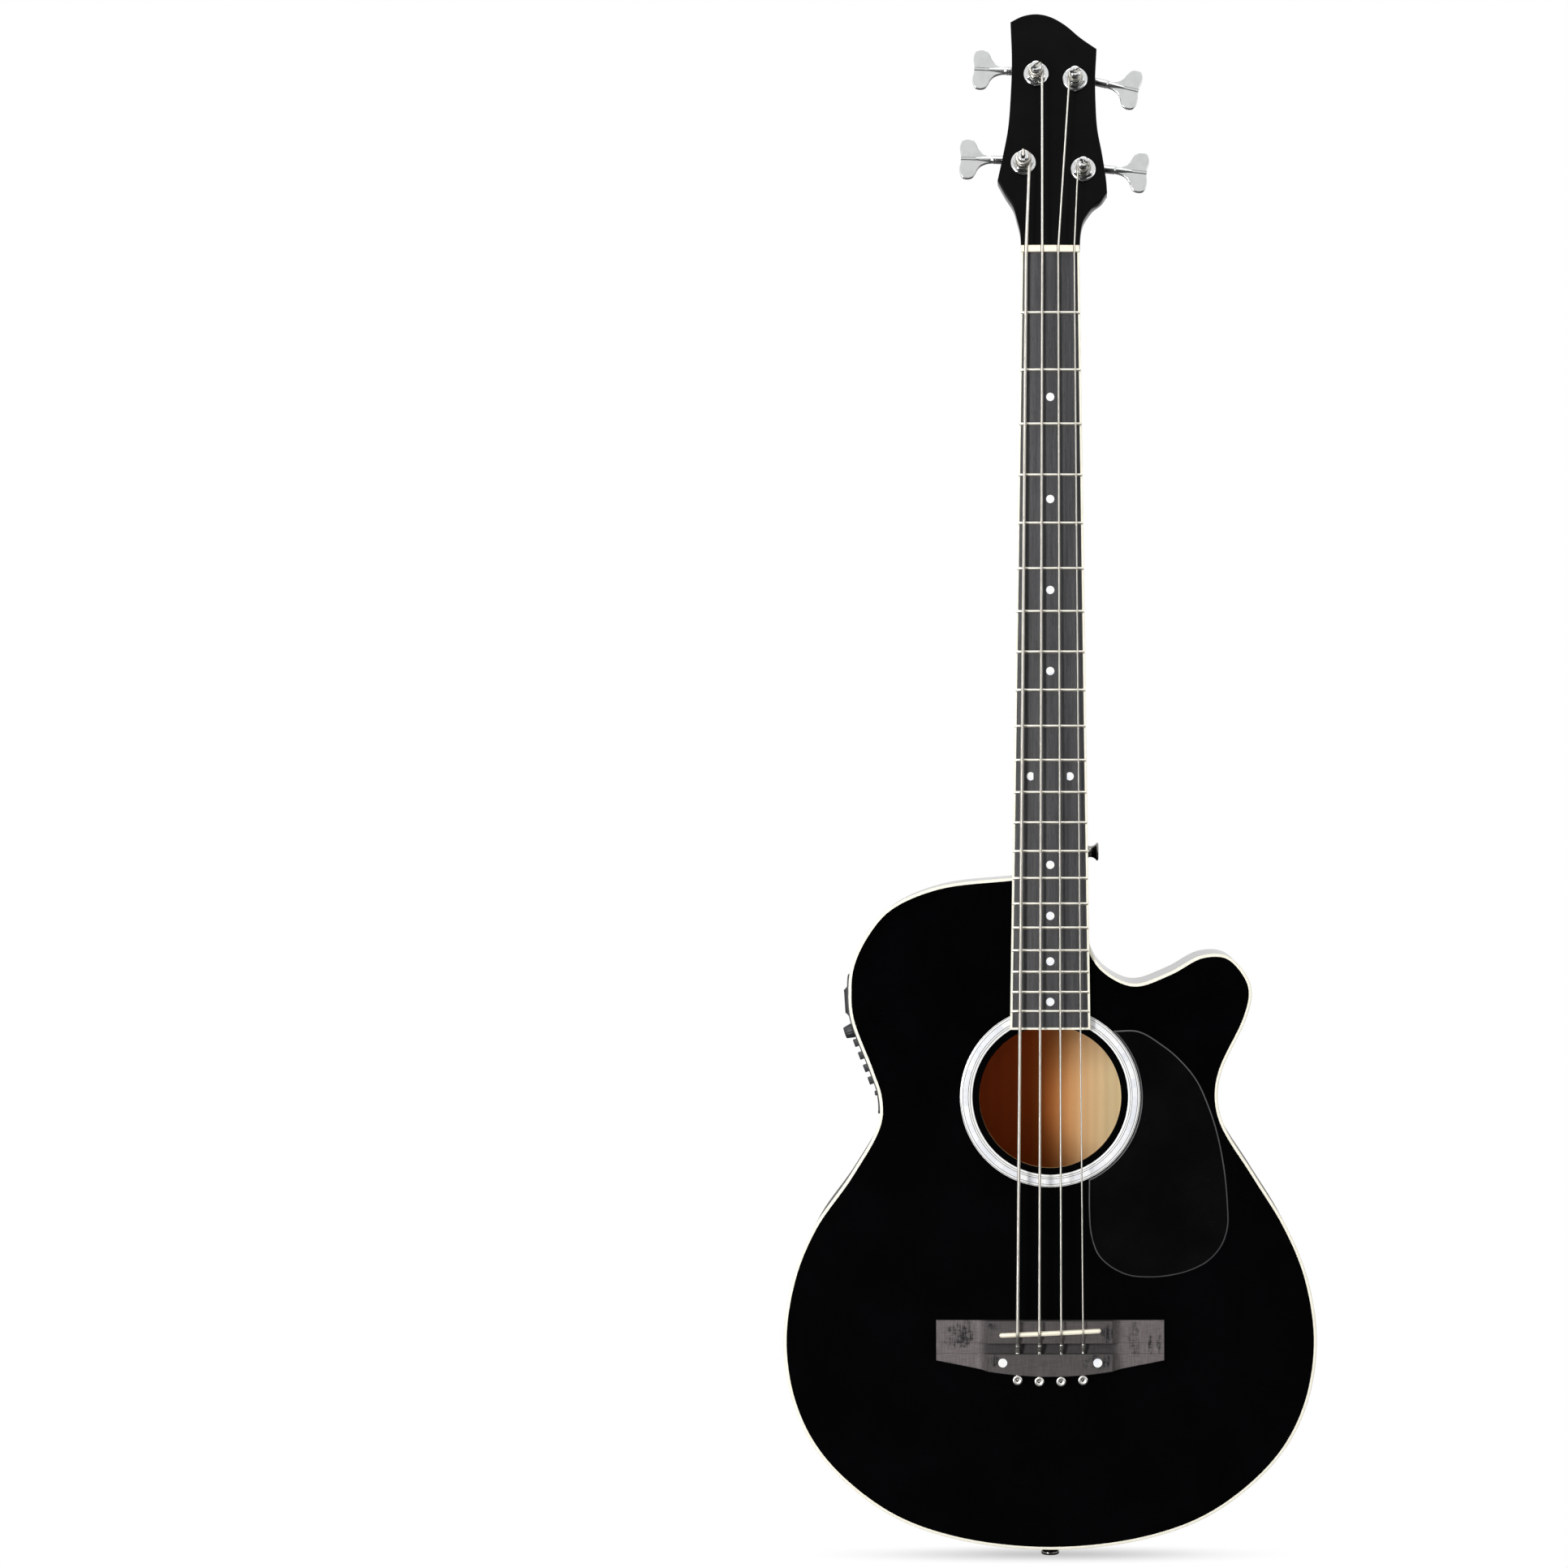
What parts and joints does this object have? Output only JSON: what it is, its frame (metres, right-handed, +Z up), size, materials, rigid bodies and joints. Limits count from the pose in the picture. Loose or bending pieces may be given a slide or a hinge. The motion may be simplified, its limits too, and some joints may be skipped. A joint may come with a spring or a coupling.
{
  "type": "acoustic bass guitar",
  "caption": "Cutaway acoustic bass guitar with a round soundhole, enclosed worm-geared tuners, an onboard preamp in its side and a jack in its end pin.",
  "frame": {"origin": "in the neck just below the headstock's flare, where a wall hanger's yoke carries it, on the centre line", "axes": "+Z up along the neck, +X towards the treble side with the cutaway, soundboard facing -Y, right-handed"},
  "size_m": [0.402, 0.1167, 1.176],
  "materials": {
    "black_gloss_lacquer": "black lacquer polished to a mirror gloss over spruce and maple",
    "back_wood": "maple, lacquered black and polished outside, bare tan wood inside",
    "ivory_binding": "ivory celluloid binding, polished",
    "pearl_inlay": "pearl mosaic between black and white lines",
    "pickguard_plastic": "black celluloid with a thin pale edge",
    "pale_inner_wood": "bare spruce and mahogany inside the body",
    "dark_fingerboard_wood": "dark dyed rosewood, oiled, with worn streaks",
    "black_neck_lacquer": "black lacquered neck and headstock",
    "rod_steel": "plain steel rod",
    "nut_brass": "bare brass",
    "bone": "polished bone",
    "dark_nickel": "dark nickel plate",
    "wound_nickel": "pale wound strings, nickel over a steel core",
    "tuner_chrome": "bright chrome plate",
    "preamp_plastic": "black moulded plastic with fine grain",
    "battery_casing": "plain painted battery casing"
  },
  "bodies": {
    "body": {"soundboard": "black_gloss_lacquer", "back": "back_wood", "sides": "black_gloss_lacquer", "top_binding": "ivory_binding", "back_binding": "ivory_binding", "rosette": "pearl_inlay", "pickguard": "pickguard_plastic", "top_lining": "pale_inner_wood", "back_lining": "pale_inner_wood", "neck_block": "pale_inner_wood", "tail_block": "pale_inner_wood", "x_brace": "pale_inner_wood", "bridge_plate": "dark_fingerboard_wood", "back_brace_upper": "pale_inner_wood", "back_brace_lower": "pale_inner_wood", "neck": "black_neck_lacquer", "fingerboard": "dark_fingerboard_wood", "fingerboard_binding": "ivory_binding", "truss_rod": "rod_steel", "nut": "bone", "bridge": "dark_fingerboard_wood", "end_pin_jack": "dark_nickel", "saddle": "bone", "piezo_pickup": "nut_brass", "heel_strap_button": "dark_nickel", "string_e": "wound_nickel", "string_a": "wound_nickel", "string_d": "wound_nickel", "string_g": "wound_nickel", "preamp_bezel": "preamp_plastic", "preamp_case": "preamp_plastic", "tuner_housing_e": "tuner_chrome", "tuner_bushing_e": "tuner_chrome", "tuner_housing_a": "tuner_chrome", "tuner_bushing_a": "tuner_chrome", "tuner_housing_d": "tuner_chrome", "tuner_bushing_d": "tuner_chrome", "tuner_housing_g": "tuner_chrome", "tuner_bushing_g": "tuner_chrome"},
    "post_e": {"tuner_post_e": "tuner_chrome", "winding_e": "wound_nickel"},
    "key_e": {"tuner_key_e": "tuner_chrome"},
    "post_a": {"tuner_post_a": "tuner_chrome", "winding_a": "wound_nickel"},
    "key_a": {"tuner_key_a": "tuner_chrome"},
    "post_d": {"tuner_post_d": "tuner_chrome", "winding_d": "wound_nickel"},
    "key_d": {"tuner_key_d": "tuner_chrome"},
    "post_g": {"tuner_post_g": "tuner_chrome", "winding_g": "wound_nickel"},
    "key_g": {"tuner_key_g": "tuner_chrome"},
    "knob": {"volume_knob": "preamp_plastic"},
    "slider_low": {"tone_slider_low": "preamp_plastic"},
    "slider_low_mid": {"tone_slider_low_mid": "preamp_plastic"},
    "slider_high_mid": {"tone_slider_high_mid": "preamp_plastic"},
    "slider_high": {"tone_slider_high": "preamp_plastic"},
    "button": {"check_button": "preamp_plastic"},
    "drawer": {"battery_drawer": "preamp_plastic", "battery": "battery_casing"},
    "rod_nut": {"truss_rod_nut": "nut_brass"}
  },
  "joints": [
    {"name": "key_turn_e", "type": "hinge", "parent": "body", "child": "key_e", "pos_m": [-0.02016, 0.02366, 0.05946], "axis": [0.9997, -0.0041, -0.0259], "continuous": true},
    {"name": "post_turn_e", "type": "hinge", "parent": "body", "child": "post_e", "pos_m": [-0.02038, 0.00216, 0.05416], "axis": [0, -0.9877, 0.1564], "continuous": true},
    {"name": "key_turn_a", "type": "hinge", "parent": "body", "child": "key_a", "pos_m": [-0.01026, 0.03459, 0.1285], "axis": [0.9986, -0.0082, -0.0517], "continuous": true},
    {"name": "post_turn_a", "type": "hinge", "parent": "body", "child": "post_a", "pos_m": [-0.01071, 0.0131, 0.12321], "axis": [0, -0.9877, 0.1564], "continuous": true},
    {"name": "key_turn_d", "type": "hinge", "parent": "body", "child": "key_d", "pos_m": [0.02073, 0.03393, 0.12432], "axis": [0.9744, -0.0352, -0.2222], "continuous": true},
    {"name": "post_turn_d", "type": "hinge", "parent": "body", "child": "post_d", "pos_m": [0.01879, 0.01247, 0.11923], "axis": [0, -0.9877, 0.1564], "continuous": true},
    {"name": "key_turn_g", "type": "hinge", "parent": "body", "child": "key_g", "pos_m": [0.0258, 0.02285, 0.05436], "axis": [0.9945, -0.0164, -0.1032], "continuous": true},
    {"name": "post_turn_g", "type": "hinge", "parent": "body", "child": "post_g", "pos_m": [0.0249, 0.00136, 0.0491], "axis": [0, -0.9877, 0.1564], "continuous": true},
    {"name": "volume_turn", "type": "hinge", "parent": "body", "child": "knob", "pos_m": [-0.14708, 0.029, -0.6021], "axis": [-0.9436, 0, -0.331], "range_deg": [-140, 140]},
    {"name": "tone_slide_low", "type": "slide", "parent": "body", "child": "slider_low", "axis": [0, 1, 0], "range_m": [-0.007, 0.007]},
    {"name": "tone_slide_low_mid", "type": "slide", "parent": "body", "child": "slider_low_mid", "axis": [0, 1, 0], "range_m": [-0.007, 0.007]},
    {"name": "tone_slide_high_mid", "type": "slide", "parent": "body", "child": "slider_high_mid", "axis": [0, 1, 0], "range_m": [-0.007, 0.007]},
    {"name": "tone_slide_high", "type": "slide", "parent": "body", "child": "slider_high", "axis": [0, 1, 0], "range_m": [-0.007, 0.007]},
    {"name": "button_press", "type": "slide", "parent": "body", "child": "button", "axis": [0.9785, 0, 0.2064], "range_m": [0, 0.001], "stiffness_N_per_m": 400, "springref_m": -0.0005},
    {"name": "drawer_slide", "type": "slide", "parent": "body", "child": "drawer", "axis": [-0.9976, 0, -0.0691], "range_m": [0, 0.05]},
    {"name": "rod_nut_turn", "type": "hinge", "parent": "body", "child": "rod_nut", "pos_m": [0, 0.0012, -0.5123], "axis": [0, 0, 1], "range_deg": [-180, 180]}
  ],
  "couplings": [
    {"joint": "post_turn_e", "follows": "key_turn_e", "ratio": 0.0625},
    {"joint": "post_turn_a", "follows": "key_turn_a", "ratio": 0.0625},
    {"joint": "post_turn_d", "follows": "key_turn_d", "ratio": 0.0625},
    {"joint": "post_turn_g", "follows": "key_turn_g", "ratio": 0.0625}
  ]
}
